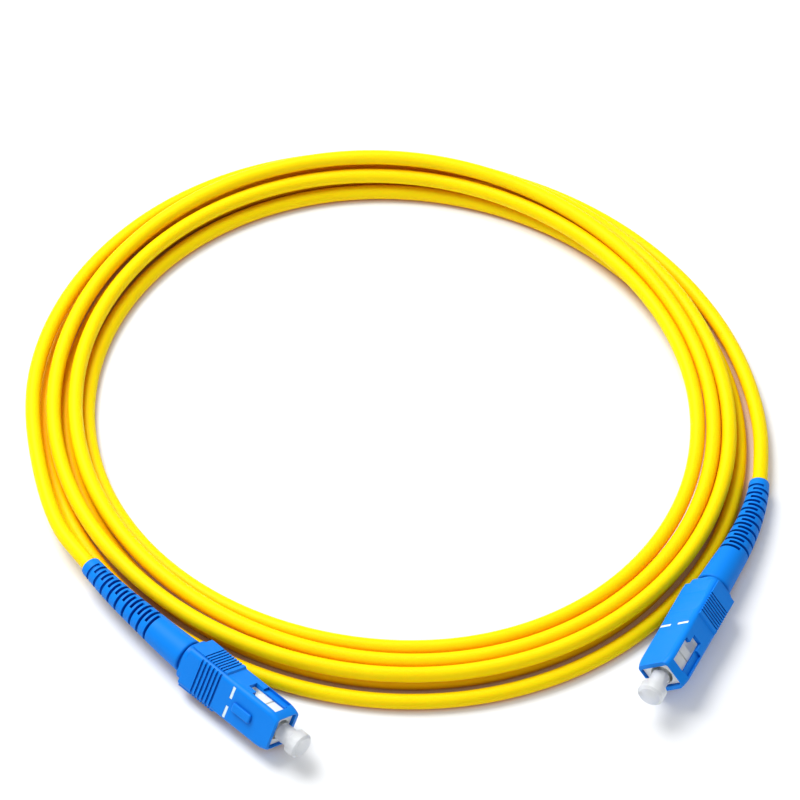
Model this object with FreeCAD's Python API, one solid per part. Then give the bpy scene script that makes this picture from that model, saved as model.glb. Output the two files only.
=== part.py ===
import FreeCAD, Part
import math
import os

V = FreeCAD.Vector
os.makedirs("parts", exist_ok=True)

# Fiber optic patch cord: two push-pull connectors on one coiled jacketed cord, in millimetres, Z up
# Each connector is built lying along X with its mating end at +X and its key on +Z, then set in its pose

# Cord
jacket_dia = 3.2
buffer_dia = 0.9
jacket_r = jacket_dia / 2
bore_clear = 0.05

# How far a cutting body reaches past what it cuts
over_cut = 1.0

# Plug frame
frame_width = 7.0
frame_height = 5.3
frame_corner = 0.5
frame_setback = 0.7
frame_length = 17.4
nose_bore = 4.7
nose_depth = 6.4
seat_wall = 1.0
chamber_bore = 4.5
groove_front = 5.0
groove_width = 0.35
groove_height = 4.0
groove_depth = 0.5
latch_front = 7.3
latch_length = 3.1
latch_height = 2.6
latch_depth = 0.7
rib_front = 11.6
rib_length = 1.6
rib_raise = 0.35
rib_width = 3.0

# Grip shell that slides over the plug frame, with a rounded nose and a narrower neck at its rear
shell_length = 25.7
shell_width = 9.0
shell_height = 7.4
shell_corner = 1.1
slide_clear = 0.05
nose_bend = 5.95
nose_wall = 0.25
neck_length = 1.1
neck_inset = 0.4
neck_corner = 2.4
neck_wall = 0.5
mouth_depth = 4.5
mouth_corner = 2.0
shell_travel = 1.5
stop_clear = 0.05
cavity_width = frame_width + 2 * slide_clear
cavity_height = frame_height + 2 * slide_clear
shell_step = shell_length - neck_length
neck_width = shell_width - 2 * neck_inset
mouth_width = neck_width - 2 * neck_wall
mouth_height = shell_height - 2 * neck_wall

# Stepped windows through the two narrow sides, each with a sunk ledge on the side away from its key
window_front = 1.7
window_length = 8.6
window_low = 1.25
window_high = 2.6
window_step_length = 2.1
window_step_high = 1.25
ledge_front = 2.0
ledge_length = 6.2
ledge_width = 1.55
ledge_sink = 0.5

# Raised grip pads on the narrow sides, grooves across the key face and a dish across the plain face
pad_front = 15.0
pad_height = 6.0
pad_raise = 0.35
pad_shoulder = 0.5
pad_root = 0.2
pad_groove_first = 15.95
pad_groove_pitch = 0.72
pad_grooves = 8
pad_groove_width = 0.3
pad_groove_depth = 0.3
face_groove_front = 15.75
face_groove_pitch = 1.03
face_grooves = 6
face_groove_width = 0.5
face_groove_depth = 0.35
dish_place = 18.5
dish_depth = 0.2
dish_radius = 20.0

# Key on one wide face and two dash marks on each wide face
key_front = 5.6
key_length = 4.9
key_width = 2.0
key_raise = 0.6
key_corner = 0.4
key_edge = 0.3
mark_place = 11.8
mark_width = 0.7
mark_length = 3.1
mark_gap = 1.8
mark_sink = 0.12

# Ferrule with its flange, sprung from behind
ferrule_dia = 2.5
ferrule_reach = 4.4
ferrule_chamfer = 0.35
ferrule_seat = 0.4
flange_dia = 4.2
flange_length = 1.6
flange_notch = 0.7
flange_tube_dia = 2.9
flange_tube_length = 3.0
flange_bore = 1.1
ferrule_travel = 0.9
rest_clear = 0.05

# Spring, stop ring, crimp and yarn behind the ferrule
spring_outer = 4.1
spring_wire = 0.45
spring_end_gap = 0.05
stop_body_length = 5.2
stop_flange_length = 0.8
stop_flange_inset = 0.2
stop_counterbore = 2.2
tube_clear = 0.15
fibre_bore = 1.3
post_dia = 2.7
post_length = 3.2
yarn_thickness = 0.25
crimp_wall = 0.4
crimp_gap = 0.6
crimp_step = 0.4
crimp_neck_length = 3.0
crimp_neck_wall = 0.32

# Boot, its shoulder a gap behind the shell
boot_gap = 0.8
boot_length = 31.2
boot_inset = 0.05
boot_wide_dia = shell_height - 2 * boot_inset
boot_end_dia = 4.3
boot_spigot_clear = 0.25
boot_spigot_dia = mouth_height - 2 * boot_spigot_clear
boot_shoulder_round = 0.5
boot_end_round = 0.35
boot_bore_clear = 0.3
boot_bore_depth = 7.0
boot_start_clear = 0.05
boot_slots = 17
boot_slot_margin = 10.0
boot_slot_end = 2.2
boot_slot_width = 0.7
boot_slot_floor = 0.35
boot_stations = 12
boot_shoulder = shell_length + boot_gap
boot_end = boot_shoulder + boot_length

# Dust cap over the ferrule
cap_clear = 0.04
cap_neck_dia = 3.9
cap_knob_dia = 5.5
cap_end_gap = 0.4
cap_end_wall = 0.9
cap_root = 0.2
cap_knob_length = 2.5
cap_flare = 0.4
cap_rim = 0.5
cap_reach = ferrule_reach + cap_end_gap + cap_end_wall

# Pose of each connector: mouth of the shell, heading, nose lift and roll about its own axis in degrees
pose_a = (-29.5, -29.3, -43.4, 0.0, 60.2)
pose_b = (46.4, -17.25, -116.0, 4.5, 220.0)

# Free stretches of cord: places behind the mouth along the plug's axis, with side step and rise
tail_a = ((29.5, 0.0, 0.0), (40.0, 0.5, 0.0), (49.5, 1.1, 0.0), (58.5, 2.4, 0.0))
tail_b = ((30.0, 0.0, 0.0), (40.0, 0.4, 0.0), (50.0, -0.5, 0.1), (59.0, -2.7, 0.3))
hand_a = (-71.6, -29.0, 5.4)
coil_run_a = 13.0
coil_run_b = 6.0

# Coil: centre, height of each row of loops and, for each side, the inner radius and outward step
# of the upper row that winds in and of the lower row that winds out again
coil_x = -7.0
coil_y = 53.3
row_height = 3.7
coil_lean = 2.0
side_left = (67.2, 4.6, 64.8, 4.5)
side_back = (65.8, 2.5, 64.4, 4.2)
side_right = (63.3, 4.3, 65.5, 5.5)
side_front = (61.2, 4.1, 67.4, 4.3)
loops_in = 3
crown_loop = 1
crown_rise = 3.3
coil_quarters = 22
coil_start_rate = (-2.0, 0.0)
coil_end_rate = (5.0, 1.2)
coil_end_lift = 0.8
sides = (side_left, side_back, side_right, side_front)


def box(x0, x1, width, height):
    # A block centred on the X axis
    return Part.makeBox(x1 - x0, width, height, V(x0, -width / 2, -height / 2))


def rod(x0, x1, diameter):
    return Part.makeCylinder(diameter / 2, x1 - x0, V(x0, 0, 0), V(1, 0, 0))


def edges_along(shape, axis, test):
    # Straight edges that run along one axis and pass a test on their middle point
    found = []
    for edge in shape.Edges:
        if edge.Curve.TypeId != "Part::GeomLine":
            continue
        run = edge.Vertexes[1].Point - edge.Vertexes[0].Point
        if run.Length < 1e-6:
            continue
        if abs(abs(run.normalize().dot(axis)) - 1) < 1e-6 and test(edge.CenterOfMass):
            found.append(edge)
    return found


def rounded_bar(x0, x1, width, height, corner):
    bar = box(x0, x1, width, height)
    return bar.makeFillet(corner, edges_along(bar, V(1, 0, 0), lambda p: True))


def both_sides(shape):
    # The shape and its copy turned half a turn about the connector's axis
    twin = shape.copy()
    twin.rotate(V(0, 0, 0), V(1, 0, 0), 180)
    return [shape, twin]


def revolve(points):
    # A turned piece from its half profile of (x, radius) corners
    outline = Part.makePolygon([V(x, 0, r) for x, r in points + points[:1]])
    return Part.Face(outline).revolve(V(0, 0, 0), V(1, 0, 0), 360)


def outline(points, height):
    # An upright plate from its corner points in the XY plane, centred on the X axis
    corners = [V(x, y, -height / 2) for x, y in points + points[:1]]
    return Part.Face(Part.makePolygon(corners)).extrude(V(0, 0, height))


def shell_blank():
    # The main block with its narrow sides drawn in at the nose, and the neck behind it
    half_width = shell_width / 2
    nose_half = cavity_width / 2 + nose_wall
    span = math.acos(1 - (half_width - nose_half) / nose_bend)
    nose_length = nose_bend * math.sin(span)
    middle_x = -nose_length + nose_bend * math.sin(span / 2)
    middle_y = half_width - nose_bend * (1 - math.cos(span / 2))

    def corner(x, y):
        return V(x, y, -shell_height / 2)

    outer = Part.Wire([
        Part.Arc(corner(0, -nose_half), corner(middle_x, -middle_y),
                 corner(-nose_length, -half_width)).toShape(),
        Part.LineSegment(corner(-nose_length, -half_width), corner(-shell_step, -half_width)).toShape(),
        Part.LineSegment(corner(-shell_step, -half_width), corner(-shell_step, half_width)).toShape(),
        Part.LineSegment(corner(-shell_step, half_width), corner(-nose_length, half_width)).toShape(),
        Part.Arc(corner(-nose_length, half_width), corner(middle_x, middle_y),
                 corner(0, nose_half)).toShape(),
        Part.LineSegment(corner(0, nose_half), corner(0, -nose_half)).toShape()])
    block = Part.Face(outer).extrude(V(0, 0, shell_height))
    side_edges = [edge for edge in block.Edges
                  if edge.BoundBox.ZLength < 1e-6 and edge.BoundBox.XLength > shell_corner]
    block = block.makeFillet(shell_corner, side_edges)
    return block.fuse(rounded_bar(-shell_length, -shell_step + neck_length,
                                  neck_width, shell_height, neck_corner))


def grip_pad():
    # One raised pad on the +Y side, with a ramp in front and a square step behind
    root = shell_width / 2 - pad_root
    top = shell_width / 2 + pad_raise
    return outline([(-pad_front + pad_shoulder, root), (-pad_front, top),
                    (-shell_step, top), (-shell_step, root)], pad_height)


def key_block():
    key = box(-key_front - key_length, -key_front, key_width, 2 * key_raise)
    key = key.makeFillet(key_corner, edges_along(key, V(0, 0, 1), lambda p: True))
    rim = [edge for edge in key.Edges if edge.BoundBox.ZMin > key_raise / 2]
    key = key.makeFillet(key_edge, rim)
    key.translate(V(0, 0, shell_height / 2))
    return key


def window_cuts():
    # The stepped opening through the +Y wall and the sunk ledge under it
    step_x = -window_front - window_length + window_step_length
    wall = shell_width / 2
    wide = Part.makeBox(-window_front - step_x, wall, window_low + window_high,
                        V(step_x, wall / 2, -window_low))
    narrow = Part.makeBox(window_step_length + over_cut, wall, window_low + window_step_high,
                          V(step_x - window_step_length, wall / 2, -window_low))
    ledge = Part.makeBox(ledge_length, wall, ledge_width + over_cut,
                         V(-ledge_front - ledge_length, wall - ledge_sink, -window_low - ledge_width))
    return [wide.fuse([narrow, ledge])]


def grip_shell():
    half_width = shell_width / 2
    half_height = shell_height / 2
    body = shell_blank().fuse(both_sides(grip_pad()) + [key_block()])

    cuts = [rounded_bar(-shell_length - over_cut, over_cut, cavity_width, cavity_height, frame_corner)]
    cuts.append(rounded_bar(-shell_length - over_cut, -shell_length + mouth_depth,
                            mouth_width, mouth_height, mouth_corner))
    cuts.append(box(-rib_front - rib_length - shell_travel - stop_clear, -rib_front + stop_clear,
                    rib_width + 2 * stop_clear, cavity_height + 2 * rib_raise))
    for window in window_cuts():
        cuts += both_sides(window)
    for k in range(pad_grooves):
        middle = -pad_groove_first - pad_groove_pitch * k
        groove = box(middle - pad_groove_width / 2, middle + pad_groove_width / 2,
                     2 * pad_groove_depth, pad_height + over_cut)
        groove.translate(V(0, half_width + pad_raise, 0))
        cuts += both_sides(groove)
    for k in range(face_grooves):
        middle = -face_groove_front - face_groove_pitch * k
        groove = box(middle - face_groove_width / 2, middle + face_groove_width / 2,
                     shell_width + over_cut, 2 * face_groove_depth)
        groove.translate(V(0, 0, half_height))
        cuts.append(groove)
    for side in (-1, 1):
        mark = box(-mark_place - mark_width / 2, -mark_place + mark_width / 2,
                   mark_length, shell_height + over_cut)
        mark.translate(V(0, side * (mark_gap + mark_length) / 2, 0))
        cuts.append(mark.cut(box(-shell_length, 0, shell_width, shell_height - 2 * mark_sink)))
    cuts.append(Part.makeCylinder(dish_radius, shell_width,
                                  V(-dish_place, -half_width, -half_height - dish_radius + dish_depth),
                                  V(0, 1, 0)))
    return body.cut(cuts)


def plug_frame():
    front = -frame_setback
    side = frame_width / 2
    body = rounded_bar(frame_rear, front, frame_width, frame_height, frame_corner)
    rib = box(-rib_front - rib_length, -rib_front, rib_width, frame_height + 2 * rib_raise)
    body = body.fuse(rib)
    seat = front - nose_depth
    cuts = [rod(seat, front + over_cut, nose_bore)]
    cuts.append(rod(seat - seat_wall - over_cut, seat + over_cut, ferrule_dia + 2 * bore_clear))
    cuts.append(rod(frame_rear - over_cut, seat - seat_wall, chamber_bore))
    latch_rear = -latch_front - latch_length
    pocket = outline([(-latch_front, side), (-latch_front - latch_depth, side - latch_depth),
                      (latch_rear, side - latch_depth), (latch_rear, side + over_cut),
                      (-latch_front, side + over_cut)], latch_height)
    groove = box(-groove_front - groove_width, -groove_front, 2 * groove_depth, groove_height)
    groove.translate(V(0, side, 0))
    cuts += both_sides(pocket) + both_sides(groove)
    return body.cut(cuts)


# Stack of the inner pieces: the ferrule's flange rests on the seat, the stop ring closes the frame's
# rear and carries the post, and the spring fills the length between the two
frame_rear = -(frame_setback + frame_length)
flange_front = -(frame_setback + nose_depth + seat_wall + rest_clear)
flange_rear = flange_front - flange_length
stop_rear = frame_rear - rest_clear - stop_flange_length
stop_front = stop_rear + stop_body_length
post_rear = stop_rear - post_length
jacket_start = -post_rear
boot_start = jacket_start + boot_start_clear


def ferrule():
    tip = ferrule_reach
    return revolve([
        (flange_front - ferrule_seat, 0.0),
        (tip, 0.0),
        (tip, ferrule_dia / 2 - ferrule_chamfer),
        (tip - ferrule_chamfer, ferrule_dia / 2),
        (flange_front - ferrule_seat, ferrule_dia / 2)])


def ferrule_flange():
    body = revolve([
        (flange_rear - flange_tube_length, flange_bore / 2),
        (flange_front - ferrule_seat, flange_bore / 2),
        (flange_front - ferrule_seat, ferrule_dia / 2),
        (flange_front, ferrule_dia / 2),
        (flange_front, flange_dia / 2),
        (flange_rear, flange_dia / 2),
        (flange_rear, flange_tube_dia / 2),
        (flange_rear - flange_tube_length, flange_tube_dia / 2)])
    notches = []
    for k in range(4):
        notch = box(flange_rear - over_cut, flange_front + over_cut, flange_notch, flange_notch)
        notch.translate(V(0, 0, flange_dia / 2))
        notch.rotate(V(0, 0, 0), V(1, 0, 0), 90 * k)
        notches.append(notch)
    return body.cut(notches)


def spring():
    return rod(stop_front + spring_end_gap, flange_rear - spring_end_gap, spring_outer).cut(
        rod(stop_front - over_cut, flange_rear + over_cut, spring_outer - 2 * spring_wire))


def stop_ring():
    body = rod(stop_rear, stop_front, chamber_bore)
    body = body.fuse(rounded_bar(stop_rear, stop_rear + stop_flange_length,
                                 frame_width - 2 * stop_flange_inset,
                                 frame_height - 2 * stop_flange_inset, frame_corner))
    body = body.fuse(rod(post_rear, stop_rear + stop_flange_length / 2, post_dia))
    return body.cut([rod(post_rear - over_cut, stop_front + over_cut, fibre_bore),
                     rod(stop_front - stop_counterbore, stop_front + over_cut,
                         flange_tube_dia + 2 * tube_clear)])


def yarn():
    return rod(post_rear, stop_rear - crimp_gap, post_dia + 2 * yarn_thickness).cut(
        rod(post_rear - over_cut, stop_front, post_dia))


def crimp_sleeve():
    inner = post_dia / 2 + yarn_thickness
    neck_inner = jacket_dia / 2
    start = stop_rear - crimp_gap
    end = post_rear - crimp_neck_length
    return revolve([
        (start, inner),
        (start, inner + crimp_wall),
        (post_rear - crimp_step, inner + crimp_wall),
        (post_rear - 2 * crimp_step, neck_inner + crimp_neck_wall),
        (end, neck_inner + crimp_neck_wall),
        (end, neck_inner),
        (post_rear, neck_inner),
        (post_rear, inner)])


def dust_cap():
    mouth = -cap_root
    knob = cap_reach - cap_knob_length
    bore = ferrule_dia / 2 + cap_clear
    return revolve([
        (mouth, bore),
        (mouth, cap_neck_dia / 2),
        (knob - cap_flare, cap_neck_dia / 2),
        (knob, cap_knob_dia / 2),
        (cap_reach - cap_rim, cap_knob_dia / 2),
        (cap_reach, cap_knob_dia / 2 - cap_rim),
        (cap_reach, 0.0),
        (cap_reach - cap_end_wall, 0.0),
        (cap_reach - cap_end_wall, bore)])


def buffered_fibre():
    # It moves back with the ferrule, so it ends that much short of the jacket
    return rod(post_rear + ferrule_travel + rest_clear, flange_front - ferrule_seat, buffer_dia)


def support_height(pitch, roll):
    # Height of the mouth when the plug rests on a rounded edge or on the edge of a grip pad
    over = abs(math.sin(math.radians(roll)))
    up = abs(math.cos(math.radians(roll)))
    on_edge = shell_corner + (shell_width / 2 - shell_corner) * over + (shell_height / 2 - shell_corner) * up
    on_pad = (shell_width / 2 + pad_raise) * over + pad_height / 2 * up
    lean = math.radians(pitch)
    return max(on_edge, on_pad) * math.cos(lean) + shell_step * math.sin(lean)


def placement(pose):
    # Roll about the connector's axis first, then the lift of its nose, its heading and its place
    x, y, heading, pitch, roll = pose
    turn = FreeCAD.Rotation(V(0, 0, 1), heading).multiply(FreeCAD.Rotation(V(0, 1, 0), -pitch))
    turn = turn.multiply(FreeCAD.Rotation(V(1, 0, 0), roll))
    return FreeCAD.Placement(V(x, y, support_height(pitch, roll)), turn)


def coil_value(quarter):
    # Radius and height of the cord's middle line at a quarter turn, counted from the left side
    side = quarter % 4
    loop = quarter // 4
    inner_in, step_in, inner_out, step_out = sides[side]
    if loop < loops_in:
        radius = inner_in + step_in * (loops_in - 1 - loop)
        height = jacket_r + row_height
        if side == 1 and loop == crown_loop:
            height += crown_rise
    else:
        radius = inner_out + step_out * (loop - loops_in)
        height = jacket_r
    if quarter == coil_quarters:
        height += coil_end_lift
    return radius, height


def coil_node(quarter):
    # Place and direction of the middle line at a quarter turn
    radius, height = coil_value(quarter)
    if quarter == 0:
        radius_rate, height_rate = coil_start_rate
    elif quarter == coil_quarters:
        radius_rate, height_rate = coil_end_rate
    else:
        before = coil_value(quarter - 1)
        after = coil_value(quarter + 1)
        radius_rate = (after[0] - before[0]) / 2
        level = (after[1] - height) * (height - before[1]) <= 0
        height_rate = 0.0 if level else (after[1] - before[1]) / 2
    turn = math.pi - quarter * math.pi / 2
    radius_rate += coil_lean * math.cos(2 * turn) * math.pi
    out = V(math.cos(turn), math.sin(turn), 0)
    ahead = V(math.sin(turn), -math.cos(turn), 0)
    place = V(coil_x, coil_y, height) + out * radius
    way = ahead * (radius * math.pi / 2) + out * radius_rate + V(0, 0, height_rate)
    return place, way.normalize()


def arc_through(start, corner, end):
    # The arc that touches both lines of an even corner
    half = (start + end) * 0.5
    lift = corner - half
    chord = (end - start).Length / 2
    side = (corner - start).Length
    middle = half + lift * (chord * (side - chord) / lift.Length ** 2)
    return Part.Arc(start, middle, end).toShape()


def biarc(start, start_way, end, end_way):
    # Two tangent arcs between two places with given directions
    chord = end - start
    both = start_way + end_way
    a = both.dot(both) - 4
    b = -2 * chord.dot(both)
    c = chord.dot(chord)
    reach = (-b - math.sqrt(b * b - 4 * a * c)) / (2 * a)
    first = start + start_way * reach
    second = end - end_way * reach
    joint = (first + second) * 0.5
    return [arc_through(start, first, joint), arc_through(joint, second, end)]


def coil_edges():
    edges = []
    place, way = coil_node(0)
    edges.append(Part.LineSegment(place - way * jacket_dia, place).toShape())
    for quarter in range(coil_quarters):
        after, after_way = coil_node(quarter + 1)
        edges += biarc(place, way, after, after_way)
        place, way = after, after_way
    edges.append(Part.LineSegment(place, place + way * jacket_dia).toShape())
    return edges


def tube(edges, radius):
    path = Part.Wire(edges)
    start = edges[0].valueAt(edges[0].FirstParameter)
    way = edges[0].tangentAt(edges[0].FirstParameter)
    ring = Part.Wire([Part.Circle(start, way, radius).toShape()])
    return path.makePipeShell([ring], True, False)


def least_gap(edges):
    # Smallest clear distance between stretches of the coil more than half a turn apart
    step = 2.0
    points = []
    for edge in edges:
        count = max(2, int(edge.Length / step))
        points += edge.discretize(count + 1)[:-1]
    apart = int(math.pi * side_front[0] / step)
    least = 1e9
    for i in range(len(points)):
        for j in range(i + apart, len(points) - 1):
            line = points[j + 1] - points[j]
            reach = points[i] - points[j]
            share = min(1.0, max(0.0, reach.dot(line) / line.dot(line)))
            least = min(least, (reach - line * share).Length)
    return least - jacket_dia


def cord_edges(points, name):
    # Straight runs joined by tangent arcs as large as the runs allow
    edges = []
    at = points[0]
    radii = []
    for i in range(1, len(points) - 1):
        into = points[i] - points[i - 1]
        out = points[i + 1] - points[i]
        cut = 0.45 * min(into.Length, out.Length)
        half_turn = into.getAngle(out) / 2
        radii.append(round(cut / math.tan(half_turn), 1))
        into.normalize()
        out.normalize()
        first = points[i] - into * cut
        last = points[i] + out * cut
        edges.append(Part.LineSegment(at, first).toShape())
        edges.append(arc_through(first, points[i], last))
        at = last
    edges.append(Part.LineSegment(at, points[-1]).toShape())
    print(name, "radii", radii)
    return edges


def on_path(edges, distance):
    # Place and direction at a distance along the path
    for edge in edges:
        if distance <= edge.Length or edge is edges[-1]:
            where = edge.getParameterByLength(min(distance, edge.Length))
            return edge.valueAt(where), edge.tangentAt(where)
        distance -= edge.Length


def boot(edges, start_x):
    # Tapered boot on the cord's own line, with half slots cut from two sides in turn
    def ring(x, diameter):
        place, way = on_path(edges, x - start_x)
        return Part.Wire([Part.Circle(place, way, diameter / 2).toShape()])

    def taper(x):
        share = (x - boot_shoulder) / boot_length
        return boot_wide_dia + (boot_end_dia - boot_wide_dia) * share

    rings = [ring(boot_shoulder, boot_wide_dia - 2 * boot_shoulder_round)]
    rings.append(ring(boot_shoulder + boot_shoulder_round, taper(boot_shoulder)))
    for k in range(1, boot_stations):
        x = boot_shoulder + (boot_length - boot_end_round) * k / boot_stations
        rings.append(ring(x, taper(x)))
    rings.append(ring(boot_end - boot_end_round, taper(boot_end - boot_end_round)))
    rings.append(ring(boot_end, boot_end_dia - 2 * boot_end_round))
    body = Part.makeLoft(rings, True, True)
    spigot = Part.makeLoft([ring(boot_start, boot_spigot_dia),
                            ring(boot_shoulder + boot_shoulder_round, boot_spigot_dia)], True, True)
    body = body.fuse(spigot)
    bore = tube(edges, jacket_r + bore_clear)
    front_bore = post_dia + 2 * (yarn_thickness + crimp_wall + boot_bore_clear)
    wide = Part.makeLoft([ring(start_x, front_bore),
                          ring(boot_start + boot_bore_depth, front_bore)], True, True)
    cuts = [bore, wide]
    first_slot = boot_shoulder + boot_slot_margin
    pitch = (boot_end - boot_slot_end - first_slot) / (boot_slots - 1)
    for k in range(boot_slots):
        x = first_slot + pitch * k
        place, way = on_path(edges, x - start_x)
        across = V(0, 0, 1).cross(way).normalize()
        up = way.cross(across)
        side = 1 if k % 2 == 0 else -1
        keep = jacket_r + bore_clear + boot_slot_floor
        slot = Part.makeBox(boot_slot_width, 2 * boot_wide_dia, boot_wide_dia,
                            V(-boot_slot_width / 2, -boot_wide_dia, 0))
        slot = slot.cut(rod(-over_cut, over_cut, 2 * keep))
        turn = FreeCAD.Rotation(way, across, up, "ZXY")
        slot.rotate(V(0, 0, 0), V(1, 0, 0), -90 * side)
        slot.Placement = FreeCAD.Placement(place, turn).multiply(slot.Placement)
        cuts.append(slot)
    return body.cut(cuts)


def turned(points, pose):
    # Route points given behind the mouth along the axis, with their side step and rise
    x, y, heading, pitch, roll = pose
    turn = math.radians(heading)
    lean = math.radians(pitch)
    level = V(math.cos(turn), math.sin(turn), 0)
    ahead = level * math.cos(lean) + V(0, 0, math.sin(lean))
    left = V(-level.y, level.x, 0)
    mouth = V(x, y, support_height(pitch, roll))
    return [mouth - ahead * back + left * side + V(0, 0, rise) for back, side, rise in points]


coil = coil_edges()
coil_start = coil[0].valueAt(coil[0].FirstParameter)
coil_start_way = coil[0].tangentAt(coil[0].FirstParameter)
coil_end = coil[-1].valueAt(coil[-1].LastParameter)
coil_end_way = coil[-1].tangentAt(coil[-1].LastParameter)
print("coil least gap", round(least_gap(coil), 2))
print("coil length", round(sum(edge.Length for edge in coil), 1))

# Free stretches: out of the crimp, through the boot, and on to the coil
crimp_point = (jacket_start, 0.0, 0.0)
hand_x, hand_y, hand_z = hand_a
route_a = turned((crimp_point,) + tail_a, pose_a)
route_a += [V(coil_x + hand_x, coil_y + hand_y, hand_z),
            coil_start - coil_start_way * coil_run_a, coil_start]
route_b = turned((crimp_point,) + tail_b, pose_b)
route_b += [coil_end + coil_end_way * coil_run_b, coil_end]


def inner_pieces():
    return {
        "outer_shell": grip_shell(),
        "plug_frame": plug_frame(),
        "ferrule": ferrule(),
        "ferrule_flange": ferrule_flange(),
        "spring": spring(),
        "stop_ring": stop_ring(),
        "buffered_fibre": buffered_fibre(),
        "aramid_yarn": yarn(),
        "crimp_sleeve": crimp_sleeve(),
        "dust_cap": dust_cap(),
    }


def write_out(name, shape):
    solid = shape.Solids[0] if len(shape.Solids) == 1 else shape
    print(name, "valid", solid.isValid(), "solids", len(shape.Solids), "volume", round(solid.Volume, 2))
    solid.exportStep("parts/" + name + ".step")


for end, pose, route in (("a", pose_a, route_a), ("b", pose_b, route_b)):
    for name, shape in inner_pieces().items():
        shape.Placement = placement(pose).multiply(shape.Placement)
        write_out(end + "_" + name, shape)
    path = cord_edges(route, "free stretch " + end)
    length = sum(edge.Length for edge in path)
    cord = tube(path, jacket_r)
    share = cord.Volume / (math.pi * jacket_r ** 2 * length)
    print("free stretch", end, "length", round(length, 1), "volume share", round(share, 4))
    write_out("cord_tail_" + end, cord)
    write_out(end + "_boot", boot(path, jacket_start))

coil_tube = tube(coil, jacket_r)
coil_span = sum(edge.Length for edge in coil)
print("coil volume share", round(coil_tube.Volume / (math.pi * jacket_r ** 2 * coil_span), 4))
write_out("cord_coil", coil_tube)
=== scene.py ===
import bmesh
import bpy
import math
from mathutils import Matrix, Vector


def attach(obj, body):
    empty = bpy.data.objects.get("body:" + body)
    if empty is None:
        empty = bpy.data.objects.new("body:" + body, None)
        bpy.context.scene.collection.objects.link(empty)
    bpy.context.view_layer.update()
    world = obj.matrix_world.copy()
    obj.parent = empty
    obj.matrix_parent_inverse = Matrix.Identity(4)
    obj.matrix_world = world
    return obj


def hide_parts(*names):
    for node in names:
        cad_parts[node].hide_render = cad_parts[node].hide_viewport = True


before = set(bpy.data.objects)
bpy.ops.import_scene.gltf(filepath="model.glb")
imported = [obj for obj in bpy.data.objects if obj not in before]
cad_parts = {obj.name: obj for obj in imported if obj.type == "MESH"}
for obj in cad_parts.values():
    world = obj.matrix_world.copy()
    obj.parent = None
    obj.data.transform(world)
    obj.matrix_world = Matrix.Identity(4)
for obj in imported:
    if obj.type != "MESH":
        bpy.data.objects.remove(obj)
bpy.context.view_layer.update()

mm = 0.001

# Camera: distance and height angle at which the photograph was taken, and the point it looks at
view_height = math.radians(51.1)
view_distance = 0.920
view_target = Vector((-0.0060, 0.0603, 0.0))
view_lens = 193.7
view_sensor = 36.0
view_reach = 20.0

# Samples with which a material looks for what stands close to it
closeness_samples = 8

# Share of a noise's span at which a colour starts and ends its drift
drift_stops = (0.3, 0.7)


# Materials
def new_material(name):
    made = bpy.data.materials.new(name)
    made.use_nodes = True
    made.node_tree.nodes.clear()
    nodes = made.node_tree.nodes
    shader = nodes.new("ShaderNodeBsdfPrincipled")
    output = nodes.new("ShaderNodeOutputMaterial")
    made.node_tree.links.new(shader.outputs["BSDF"], output.inputs["Surface"])
    return made, nodes, made.node_tree.links, shader


def set_inputs(shader, **values):
    for name, value in values.items():
        shader.inputs[name.replace("_", " ")].default_value = value


def noise(nodes, links, scale, detail=3.0):
    # Noise in object coordinates, so that it stays on the piece
    place = nodes.new("ShaderNodeTexCoord")
    made = nodes.new("ShaderNodeTexNoise")
    made.inputs["Scale"].default_value = scale
    made.inputs["Detail"].default_value = detail
    links.new(place.outputs["Object"], made.inputs["Vector"])
    return made


def between(nodes, links, source, low, high):
    # Colour between two values, led by a noise
    ramp = nodes.new("ShaderNodeValToRGB")
    for stop, position, colour in zip(ramp.color_ramp.elements, drift_stops, (low, high)):
        stop.position = position
        stop.color = colour
    links.new(source.outputs["Fac"], ramp.inputs["Fac"])
    return ramp


def spread(nodes, links, source, low, high):
    # Number between two values, led by a noise
    made = nodes.new("ShaderNodeMapRange")
    made.inputs["To Min"].default_value = low
    made.inputs["To Max"].default_value = high
    links.new(source.outputs["Fac"], made.inputs["Value"])
    return made


def bump(nodes, links, source, strength, distance):
    made = nodes.new("ShaderNodeBump")
    made.inputs["Strength"].default_value = strength
    made.inputs["Distance"].default_value = distance
    links.new(source.outputs["Fac"], made.inputs["Height"])
    return made


def painted_hollow_shade(nodes, links, colour, painted_shade_colour, reach):
    # Painted shade: a darker colour laid into grooves and narrow gaps, where shade falls
    found = nodes.new("ShaderNodeAmbientOcclusion")
    found.samples = closeness_samples
    found.inputs["Distance"].default_value = reach
    mix = nodes.new("ShaderNodeMix")
    mix.data_type = "RGBA"
    links.new(found.outputs["AO"], mix.inputs["Factor"])
    mix.inputs["A"].default_value = painted_shade_colour
    links.new(colour.outputs["Color"], mix.inputs["B"])
    return mix


def uneven_gloss(nodes, links, shader, source, rough):
    made = spread(nodes, links, source, low=rough[0], high=rough[1])
    links.new(made.outputs["Result"], shader.inputs["Roughness"])


def fine_grain(nodes, links, shader, scale, strength, distance):
    source = noise(nodes, links, scale, detail=2.0)
    made = bump(nodes, links, source, strength, distance)
    links.new(made.outputs["Normal"], shader.inputs["Normal"])


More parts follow.
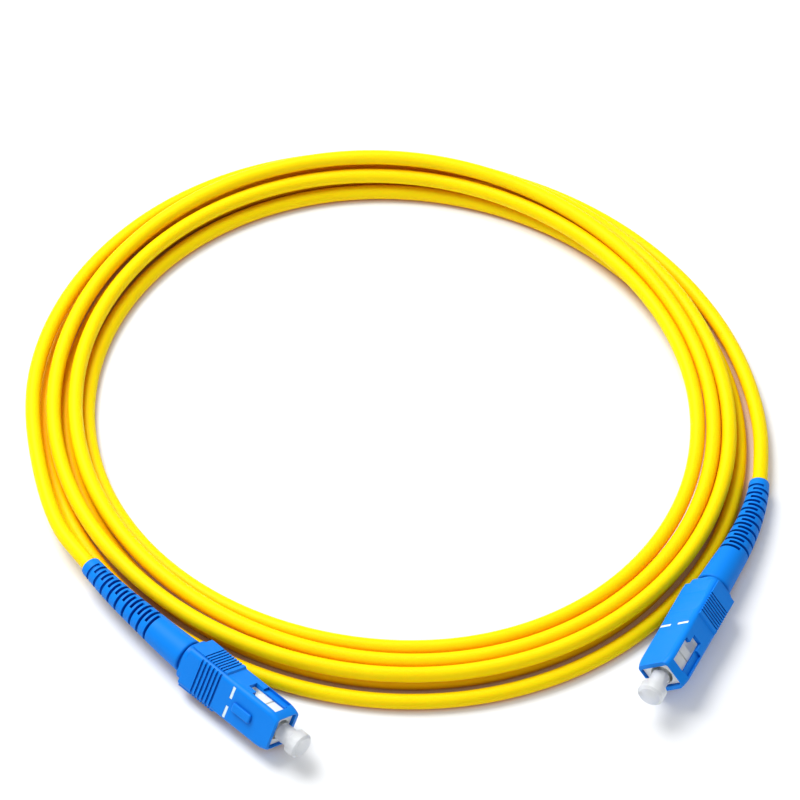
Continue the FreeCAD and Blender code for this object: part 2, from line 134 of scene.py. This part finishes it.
def plastic(name, low, high, rough, grain, strength, depth, gloss, painted_shade_colour=None, reach=None):
    # Moulded plastic: slight colour drift, uneven gloss and a fine moulded grain, with painted shade in
    # grooves and gaps where a shade colour is given
    made, nodes, links, shader = new_material(name)
    drift = noise(nodes, links, scale=60.0)
    colour = between(nodes, links, drift, low, high)
    # Painted shade in grooves and narrow gaps, found by ambient occlusion
    if painted_shade_colour:
        mixed = painted_hollow_shade(nodes, links, colour, painted_shade_colour, reach)
        links.new(mixed.outputs["Result"], shader.inputs["Base Color"])
    else:
        links.new(colour.outputs["Color"], shader.inputs["Base Color"])
    uneven_gloss(nodes, links, shader, drift, rough)
    fine_grain(nodes, links, shader, grain, strength, depth)
    set_inputs(shader, Specular_IOR_Level=gloss)
    return made


# Plastics: colour drifts between low and high, roughness between its two values; depth and reach in
# metres; the painted shade colour goes into hollows within reach
# Painted shade colours: dark blue in the grooves of the plastics, orange-brown between the cord's loops
painted_shade_blue = (0.001, 0.030, 0.32, 1)
painted_shade_yellow = (0.95, 0.42, 0.0, 1)
blue_shell = plastic(
    "blue_shell", low=(0.002, 0.206, 0.77, 1), high=(0.003, 0.234, 0.84, 1), rough=(0.36, 0.46),
    grain=2600.0, strength=0.10, depth=0.00003, gloss=0.12, painted_shade_colour=painted_shade_blue, reach=0.0012)
blue_boot = plastic(
    "blue_boot", low=(0.002, 0.198, 0.74, 1), high=(0.003, 0.222, 0.80, 1), rough=(0.46, 0.56),
    grain=2200.0, strength=0.15, depth=0.00004, gloss=0.10, painted_shade_colour=painted_shade_blue, reach=0.0012)
white_frame = plastic(
    "white_frame", low=(0.80, 0.82, 0.80, 1), high=(0.86, 0.87, 0.85, 1), rough=(0.32, 0.40),
    grain=2600.0, strength=0.08, depth=0.00003, gloss=0.4)
white_paint = plastic(
    "white_paint", low=(0.70, 0.86, 0.93, 1), high=(0.80, 0.92, 0.96, 1), rough=(0.45, 0.60),
    grain=3200.0, strength=0.15, depth=0.00004, gloss=0.2)
fibre_buffer = plastic(
    "fibre_buffer", low=(0.80, 0.80, 0.76, 1), high=(0.86, 0.86, 0.82, 1), rough=(0.40, 0.50),
    grain=2600.0, strength=0.08, depth=0.00003, gloss=0.4)
# The jacket gets painted orange-brown shade in the gaps between its loops
jacket = plastic(
    "yellow_jacket", low=(0.955, 0.690, 0.001, 1), high=(0.985, 0.730, 0.002, 1), rough=(0.38, 0.48),
    grain=1500.0, strength=0.12, depth=0.00004, gloss=0.06, painted_shade_colour=painted_shade_yellow, reach=0.003)
# Light passes a little way into the soft jacket, so gaps between loops stay warm
set_inputs(jacket.node_tree.nodes["Principled BSDF"], Subsurface_Weight=0.35,
           Subsurface_Radius=(1.0, 0.4, 0.05), Subsurface_Scale=0.002)


def drifting_colour(nodes, links, shader, scale, low, high):
    # Base colour that drifts between two values, and the noise that leads it
    drift = noise(nodes, links, scale)
    made = between(nodes, links, drift, low, high)
    links.new(made.outputs["Color"], shader.inputs["Base Color"])
    return drift


def metal(name, low, high, rough):
    made, nodes, links, shader = new_material(name)
    drift = drifting_colour(nodes, links, shader, scale=900.0, low=low, high=high)
    uneven_gloss(nodes, links, shader, drift, rough)
    set_inputs(shader, Metallic=1.0)
    return made


turned_metal = metal(
    "turned_metal", low=(0.58, 0.58, 0.58, 1), high=(0.66, 0.66, 0.66, 1), rough=(0.25, 0.35))
crimp_metal = metal(
    "crimp_metal", low=(0.70, 0.70, 0.71, 1), high=(0.78, 0.78, 0.79, 1), rough=(0.30, 0.42))


def ceramic():
    made, nodes, links, shader = new_material("white_ceramic")
    drift = drifting_colour(nodes, links, shader, scale=400.0,
                            low=(0.84, 0.84, 0.81, 1), high=(0.88, 0.88, 0.86, 1))
    uneven_gloss(nodes, links, shader, drift, rough=(0.10, 0.16))
    set_inputs(shader, Coat_Weight=0.4, Coat_Roughness=0.08)
    return made


def clear_plastic():
    # Milky clear cap: mostly see-through, with a little haze
    made, nodes, links, shader = new_material("clear_cap")
    drift = drifting_colour(nodes, links, shader, scale=220.0,
                            low=(0.95, 0.96, 0.97, 1), high=(0.98, 0.99, 1.0, 1))
    uneven_gloss(nodes, links, shader, drift, rough=(0.30, 0.42))
    fine_grain(nodes, links, shader, scale=1800.0, strength=0.1, distance=0.00003)
    set_inputs(shader, Transmission_Weight=0.6, IOR=1.2)
    return made


def yarn_fabric():
    made, nodes, links, shader = new_material("yarn")
    drift = drifting_colour(nodes, links, shader, scale=3000.0,
                            low=(0.72, 0.52, 0.10, 1), high=(0.85, 0.66, 0.20, 1))
    set_inputs(shader, Roughness=0.8)
    threads = bump(nodes, links, drift, strength=0.4, distance=0.00008)
    links.new(threads.outputs["Normal"], shader.inputs["Normal"])
    return made


white_ceramic = ceramic()
clear_cap = clear_plastic()
yarn = yarn_fabric()

finish_of = {
    "outer_shell": blue_shell,
    "plug_frame": white_frame,
    "ferrule": white_ceramic,
    "ferrule_flange": turned_metal,
    "spring": turned_metal,
    "stop_ring": turned_metal,
    "buffered_fibre": fibre_buffer,
    "aramid_yarn": yarn,
    "crimp_sleeve": crimp_metal,
    "boot": blue_boot,
    "dust_cap": clear_cap,
}


def dress(node, finish):
    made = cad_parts[node]
    if not made.data.materials:
        made.data.materials.append(finish)
    for place in range(len(made.data.materials)):
        made.data.materials[place] = finish


for end in ("a", "b"):
    for piece, finish in finish_of.items():
        dress(end + "_" + piece, finish)


# Pose of each plug as in the CAD source: mouth in millimetres, heading, lift of the nose and roll
pose_a = (-29.5, -29.3, 5.700, -43.4, 0.0, 60.2)
pose_b = (46.4, -17.25, 7.329, -116.0, 4.5, 220.0)

# White dashes: distance behind the mouth, size, reach to each side and height above the plug's axis
mark_place = 11.8
mark_width = 0.7
mark_inner = 0.9
mark_outer = 3.75
mark_floor = 3.58
mark_top = 3.65
mark_clear = 0.04
mark_round = 0.02


def plug_matrix(pose):
    # From a connector's own axes, mating end at +X and key on +Z, to its place in the shared frame
    x, y, z, heading, lift, roll = pose
    turn = Matrix.Rotation(math.radians(heading), 4, "Z") @ Matrix.Rotation(math.radians(-lift), 4, "Y")
    turn = turn @ Matrix.Rotation(math.radians(roll), 4, "X")
    return Matrix.Translation(Vector((x, y, z)) * mm) @ turn @ Matrix.Scale(mm, 4)


def painted_marks(name, pose, finish):
    # Two white dashes on each wide face, laid in the grooves of the shell
    made = bmesh.new()
    for face in (-1, 1):
        for side in (-1, 1):
            box = bmesh.ops.create_cube(made, size=1.0)["verts"]
            for vert in box:
                along = -mark_place + vert.co.x * (mark_width - mark_clear)
                length = mark_outer - mark_inner - mark_clear
                across = side * ((mark_inner + mark_outer) / 2 + vert.co.y * length)
                up = face * ((mark_floor + mark_top) / 2 + vert.co.z * (mark_top - mark_floor))
                vert.co = (along, across, up)
    bmesh.ops.recalc_face_normals(made, faces=made.faces)
    bmesh.ops.bevel(made, geom=made.edges[:], offset=mark_round, segments=2, affect="EDGES")
    bmesh.ops.transform(made, matrix=plug_matrix(pose), verts=made.verts)
    data = bpy.data.meshes.new(name)
    made.to_mesh(data)
    made.free()
    data.materials.append(finish)
    piece = bpy.data.objects.new(name, data)
    bpy.context.scene.collection.objects.link(piece)
    return piece


for end, pose in (("a", pose_a), ("b", pose_b)):
    marks = painted_marks(end + "_marks", pose, white_paint)
    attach(marks, end + "_grip")


# The cord: the route is laid as in the CAD source, in millimetres, with side values of its own
jacket_dia = 3.2 * mm
coil_centre = Vector((-7.0, 53.3, 0.0))
lower_height = 1.6
row_height = 3.7
crown_rise = 3.3
coil_lean = 2.0
# Each side: inner radius and outward step of the row that winds in, then of the row that winds out
left_side = (67.2, 4.6, 64.8, 4.5)
back_side = (65.8, 2.5, 64.4, 4.2)
right_side = (63.3, 3.3, 67.7, 4.3)
front_side = (61.2, 3.3, 67.0, 4.8)
sides = (left_side, back_side, right_side, front_side)
loops_in = 3
crown_loop = 1
coil_quarters = 22
coil_start_rate = (-2.0, 0.0)
coil_end_rate = (5.0, 1.2)
coil_end_lift = 0.8
points_per_turn = 24


def turned(points, pose):
    # Places given behind the mouth of a plug, with their side step and rise, in the shared frame
    x, y, z, heading, lift = pose[:5]
    turn = math.radians(heading)
    lean = math.radians(lift)
    level = Vector((math.cos(turn), math.sin(turn), 0))
    ahead = level * math.cos(lean) + Vector((0, 0, math.sin(lean)))
    left = Vector((-level.y, level.x, 0))
    mouth = Vector((x, y, z))
    return [mouth - ahead * back + left * side + Vector((0, 0, rise)) for back, side, rise in points]


def coil_value(quarter):
    # Radius and height of the middle line at a quarter turn, counted from the left side
    loop, place = divmod(quarter, len(sides))
    side = sides[place]
    inner_in, step_in, inner_out, step_out = side
    if loop < loops_in:
        radius = inner_in + step_in * (loops_in - 1 - loop)
        height = lower_height + row_height
        if side is back_side and loop == crown_loop:
            height += crown_rise
    else:
        radius = inner_out + step_out * (loop - loops_in)
        height = lower_height
    if quarter == coil_quarters:
        height += coil_end_lift
    return radius, height


def coil_rate(quarter):
    # Change of radius and height per quarter turn
    if quarter == 0:
        return coil_start_rate
    if quarter == coil_quarters:
        return coil_end_rate
    before = coil_value(quarter - 1)
    here = coil_value(quarter)
    after = coil_value(quarter + 1)
    level = (after[1] - here[1]) * (here[1] - before[1]) <= 0
    return (after[0] - before[0]) / 2, 0.0 if level else (after[1] - before[1]) / 2


def coil_point(turned_quarters):
    # A smooth spiral through the quarter-turn values
    quarter = min(int(turned_quarters), coil_quarters - 1)
    share = turned_quarters - quarter
    near = coil_value(quarter)
    far = coil_value(quarter + 1)
    near_rate = coil_rate(quarter)
    far_rate = coil_rate(quarter + 1)
    start_part = 2 * share ** 3 - 3 * share ** 2 + 1
    start_slope = share ** 3 - 2 * share ** 2 + share
    end_part = 3 * share ** 2 - 2 * share ** 3
    end_slope = share ** 3 - share ** 2
    radius, height = (start_part * near[k] + start_slope * near_rate[k]
                      + end_part * far[k] + end_slope * far_rate[k] for k in (0, 1))
    turn = math.pi - turned_quarters * math.pi / 2
    radius += coil_lean * math.sin(-2 * turn)
    # A spline of this kind runs inside its points by a known share of the radius
    step = 2 * math.pi / points_per_turn
    radius *= 2 / (1 + math.cos(step))
    return coil_centre + Vector((radius * math.cos(turn), radius * math.sin(turn), height))


# Places behind each mouth, with side step and rise, and the place where the left end joins the coil
through_boot_a = [(40.0, 0.5, 0.0), (49.5, 1.1, 0.0), (58.5, 2.4, 0.0)]
through_boot_b = [(59.0, -2.7, 0.3), (50.0, -0.5, 0.1), (40.0, 0.4, 0.0)]
joining_a = Vector((-71.6, -29.0, 5.4))
cord_resolution = 8
cord_roundness = 7

route_a = turned(through_boot_a, pose_a)
route_a.append(coil_centre + joining_a)
route_b = turned(through_boot_b, pose_b)
count = coil_quarters * points_per_turn // len(sides)
coil_points = [coil_point(coil_quarters * k / count) for k in range(count + 1)]
route = [point * mm for point in route_a + coil_points + route_b]


def smooth_cord(name, points, radius, finish):
    data = bpy.data.curves.new(name, "CURVE")
    data.dimensions = "3D"
    data.resolution_u = cord_resolution
    data.bevel_depth = radius
    data.bevel_resolution = cord_roundness
    data.use_fill_caps = True
    spline = data.splines.new("NURBS")
    spline.points.add(len(points) - 1)
    for place, point in zip(spline.points, points):
        place.co = (point.x, point.y, point.z, 1.0)
    spline.order_u = 3
    spline.use_endpoint_u = True
    made = bpy.data.objects.new(name, data)
    bpy.context.scene.collection.objects.link(made)
    data.materials.append(finish)
    return made


cord = smooth_cord("patch_cord", route, jacket_dia / 2, jacket)
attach(cord, "cord_set")
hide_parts("cord_tail_a", "cord_coil", "cord_tail_b")


# Boots: the tapered form of the CAD source, with comb slots whose ends overlap across the middle.
# Distances are behind the mouth, in millimetres
boot_start = 22.2
boot_shoulder = 26.5
boot_end = 57.7
boot_spigot_r = 2.95
boot_wide_r = 3.65
boot_end_r = 2.15
boot_bore_r = 1.65
boot_front_bore_r = 2.3
boot_bore_rear = 29.2
shoulder_round = 0.5
end_round = 0.35
round_steps = 4
boot_sides = 72
boot_rings = 44
straight_end = 29.5
crease_angle = 32
slot_count = 17
slot_first = 36.5
slot_last = 55.5
slot_half_width = 0.34
slot_floor_r = 1.88
slot_half_turn = 118
slot_steps = 36
slot_over_cut = 0.5


def line_points(points):
    # Places along the smooth line through a route, read from its own spline
    made = smooth_cord("boot_line", points, 0.0, jacket)
    data = bpy.data.meshes.new_from_object(made)
    places = [vert.co.copy() for vert in data.vertices]
    curve = made.data
    bpy.data.objects.remove(made)
    bpy.data.curves.remove(curve)
    bpy.data.meshes.remove(data)
    return places


def place_on(places, distance):
    # Place at a distance along a line of places, with the two axes across the line
    for near, far in zip(places, places[1:]):
        run = (far - near).length
        if distance <= run or far is places[-1]:
            way = (far - near).normalized()
            across = Vector((0, 0, 1)).cross(way).normalized()
            return near + way * distance, across, way.cross(across)
        distance -= run


def boot_radius(back):
    share = (back - boot_shoulder) / (boot_end - boot_shoulder)
    return boot_wide_r + (boot_end_r - boot_wide_r) * share


def boot_profile():
    # Distance behind the mouth and radius, once round the wall of the boot
    profile = [(boot_bore_rear, boot_bore_r), (boot_bore_rear, boot_front_bore_r),
               (boot_start, boot_front_bore_r), (boot_start, boot_spigot_r)]
    profile.append((boot_shoulder, boot_spigot_r))
    quarter_round = [math.radians(90 * k / round_steps) for k in range(round_steps + 1)]
    for turn in quarter_round:
        profile.append((boot_shoulder + shoulder_round * (1 - math.cos(turn)),
                        boot_wide_r - shoulder_round * (1 - math.sin(turn))))
    first = boot_shoulder + shoulder_round
    last = boot_end - end_round
    for k in range(1, boot_rings):
        back = first + (last - first) * k / boot_rings
        profile.append((back, boot_radius(back)))
    for turn in quarter_round:
        profile.append((last + end_round * math.sin(turn),
                        boot_radius(last) - end_round * (1 - math.cos(turn))))
    profile.append((boot_end, boot_bore_r))
    for k in range(1, boot_rings):
        profile.append((boot_end + (boot_bore_rear - boot_end) * k / boot_rings, boot_bore_r))
    return profile


def ring_of(made, places, back, radius, angles):
    place, across, up = place_on(places, (back - boot_start) * mm)
    spokes = [across * math.cos(angle) + up * math.sin(angle) for angle in angles]
    return [made.verts.new(place + spoke * radius * mm) for spoke in spokes]


def closed_sweep(places, profile, angles, open_ends):
    # Solid swept round the line: a whole turn, or a sector with its two ends closed
    made = bmesh.new()
    rings = [ring_of(made, places, back, radius, angles) for back, radius in profile]
    count = len(angles)
    for near, far in zip(rings, rings[1:] + rings[:1]):
        for k in range(count - 1 if open_ends else count):
            after = (k + 1) % count
            made.faces.new((near[k], near[after], far[after], far[k]))
    if open_ends:
        made.faces.new([ring[0] for ring in rings])
        made.faces.new([ring[-1] for ring in reversed(rings)])
    bmesh.ops.recalc_face_normals(made, faces=made.faces)
    return made


def mesh_piece(name, made):
    data = bpy.data.meshes.new(name)
    made.to_mesh(data)
    made.free()
    piece = bpy.data.objects.new(name, data)
    bpy.context.scene.collection.objects.link(piece)
    return piece


def slot_forms(places):
    # All slots of a boot in one mesh, open to one side and to the other in turn
    slots = bmesh.new()
    outer = boot_wide_r + slot_over_cut
    for k in range(slot_count):
        back = slot_first + (slot_last - slot_first) * k / (slot_count - 1)
        front = back - slot_half_width
        rear = back + slot_half_width
        middle = 180 * (k % 2)
        span = [math.radians(middle - slot_half_turn + 2 * slot_half_turn * n / slot_steps)
                for n in range(slot_steps + 1)]
        profile = [(front, slot_floor_r), (front, outer), (rear, outer), (rear, slot_floor_r)]
        one = closed_sweep(places, profile, span, True)
        holder = bpy.data.meshes.new("slot")
        one.to_mesh(holder)
        one.free()
        slots.from_mesh(holder)
        bpy.data.meshes.remove(holder)
    return slots


def slotted_boot(name, places):
    whole = [2 * math.pi * k / boot_sides for k in range(boot_sides)]
    piece = mesh_piece(name, closed_sweep(places, boot_profile(), whole, False))
    cutter = mesh_piece("slot_cutter", slot_forms(places))
    cut = piece.modifiers.new("slots", "BOOLEAN")
    cut.operation = "DIFFERENCE"
    cut.solver = "EXACT"
    cut.object = cutter
    bpy.context.view_layer.update()
    result = bpy.data.meshes.new_from_object(piece.evaluated_get(bpy.context.evaluated_depsgraph_get()))
    piece.modifiers.remove(cut)
    piece.data = result
    result.name = name
    cutter_data = cutter.data
    bpy.data.objects.remove(cutter)
    bpy.data.meshes.remove(cutter_data)
    result.materials.clear()
    result.materials.append(blue_boot)
    result.shade_smooth()
    result.set_sharp_from_angle(angle=math.radians(crease_angle))
    return piece


straight = [(boot_start, 0.0, 0.0), (straight_end, 0.0, 0.0)]
lead_a = [point * mm for point in turned(straight, pose_a) + route_a]
lead_b = [point * mm for point in turned(straight, pose_b) + route_b[::-1] + [coil_points[-1]]]
for end, lead in (("a", lead_a), ("b", lead_b)):
    boot = slotted_boot(end + "_slotted_boot", line_points(lead))
    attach(boot, "cord_set")
    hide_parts(end + "_boot")


# Stage: white table, soft lights and the photograph's camera
table_half = 3.0
table_white = (0.90, 0.91, 0.92, 1)
# Painted warm shade for the table in the narrow gaps between loops: a brown colour and a warm glow
painted_gap_shade = (0.60, 0.28, 0.02, 1)
glow_white = (1.0, 1.0, 1.0, 1)
painted_gap_glow = (1.0, 0.45, 0.03, 1)
floor_glow = 0.3
gap_reach = 0.005
gap_closed = 0.15
gap_open = 0.55
glow_reach = 0.02


def open_share(nodes, reach):
    # How open a place on the table is: 1 with nothing over it within reach
    made = nodes.new("ShaderNodeAmbientOcclusion")
    made.samples = closeness_samples
    made.inputs["Distance"].default_value = reach
    return made


def arithmetic(nodes, links, operation, first, second):
    made = nodes.new("ShaderNodeMath")
    made.operation = operation
    links.new(first, made.inputs[0])
    links.new(second, made.inputs[1])
    return made.outputs["Value"]


def mixed_colour(nodes, links, share, low, high):
    made = nodes.new("ShaderNodeMix")
    made.data_type = "RGBA"
    made.inputs["A"].default_value = low
    made.inputs["B"].default_value = high
    links.new(share, made.inputs["Factor"])
    return made.outputs["Result"]


def table_finish():
    finish, nodes, links, shader = new_material("white_table")
    set_inputs(shader, Roughness=0.8, Specular_IOR_Level=0.1)
    glow = nodes.new("ShaderNodeEmission")
    seen = nodes.new("ShaderNodeLightPath")
    glow.inputs["Strength"].default_value = 1.0
    # Painted warm shade: in the narrow gaps between loops the table's colour and glow turn to the cord's
    # warm brown
    gap = nodes.new("ShaderNodeMapRange")
    gap.inputs["From Min"].default_value = gap_closed
    gap.inputs["From Max"].default_value = gap_open
    links.new(open_share(nodes, gap_reach).outputs["AO"], gap.inputs["Value"])
    colour = mixed_colour(nodes, links, gap.outputs["Result"], painted_gap_shade, table_white)
    glow_colour = mixed_colour(nodes, links, gap.outputs["Result"], painted_gap_glow, glow_white)
    links.new(colour, shader.inputs["Base Color"])
    links.new(glow_colour, glow.inputs["Color"])
    # Painted shadow: the table's own white fades where a piece stands close over it
    mirrored = arithmetic(nodes, links, "MAXIMUM", seen.outputs["Is Glossy Ray"],
                          seen.outputs["Is Transmission Ray"])
    direct = arithmetic(nodes, links, "MAXIMUM", seen.outputs["Is Camera Ray"], mirrored)
    share = nodes.new("ShaderNodeMath")
    share.operation = "MULTIPLY"
    share.inputs[1].default_value = floor_glow
    links.new(direct, share.inputs[0])
    open_glow = arithmetic(nodes, links, "MULTIPLY", share.outputs["Value"],
                           open_share(nodes, glow_reach).outputs["AO"])
    mix = nodes.new("ShaderNodeMixShader")
    links.new(open_glow, mix.inputs["Fac"])
    links.new(shader.outputs["BSDF"], mix.inputs[1])
    links.new(glow.outputs["Emission"], mix.inputs[2])
    output = next(node for node in nodes if node.type == "OUTPUT_MATERIAL")
    links.new(mix.outputs["Shader"], output.inputs["Surface"])
    return finish


def table_top():
    data = bpy.data.meshes.new("table_top")
    corners = [(x * table_half, y * table_half, 0) for x, y in ((-1, -1), (1, -1), (1, 1), (-1, 1))]
    data.from_pydata(corners, [], [(0, 1, 2, 3)])
    made = bpy.data.objects.new("table_top", data)
    bpy.context.scene.collection.objects.link(made)
    data.materials.append(table_finish())


lamp_aim = Vector((0, 0.05, 0))
lamp_size = 0.7


def soft_light(name, place, power, colour):
    data = bpy.data.lights.new(name, "AREA")
    data.shape = "DISK"
    data.size = lamp_size
    data.energy = power
    data.color = colour
    made = bpy.data.objects.new(name, data)
    made.location = place
    made.rotation_euler = (lamp_aim - Vector(place)).to_track_quat("-Z", "Y").to_euler()
    bpy.context.scene.collection.objects.link(made)


table_top()
soft_light("main_light", (-0.40, 0.45, 0.90), power=14.5, colour=(1, 1, 1))
soft_light("side_light", (-0.10, -0.80, 0.60), power=1.5, colour=(0.97, 0.98, 1.0))

world = bpy.data.worlds.new("studio")
world.use_nodes = True
surroundings = world.node_tree.nodes["Background"]
surroundings.inputs["Color"].default_value = (0.93, 0.96, 1.0, 1)
surroundings.inputs["Strength"].default_value = 0.38
bpy.context.scene.world = world

lens = bpy.data.cameras.new("photo_camera")
lens.lens = view_lens
lens.sensor_width = view_sensor
lens.clip_end = view_reach
camera = bpy.data.objects.new("photo_camera", lens)
away = Vector((0, -math.cos(view_height), math.sin(view_height)))
camera.location = view_target + away * view_distance
camera.rotation_euler = (math.pi / 2 - view_height, 0, 0)
bpy.context.scene.collection.objects.link(camera)
bpy.context.scene.camera = camera
bpy.context.scene.view_settings.view_transform = "Standard"
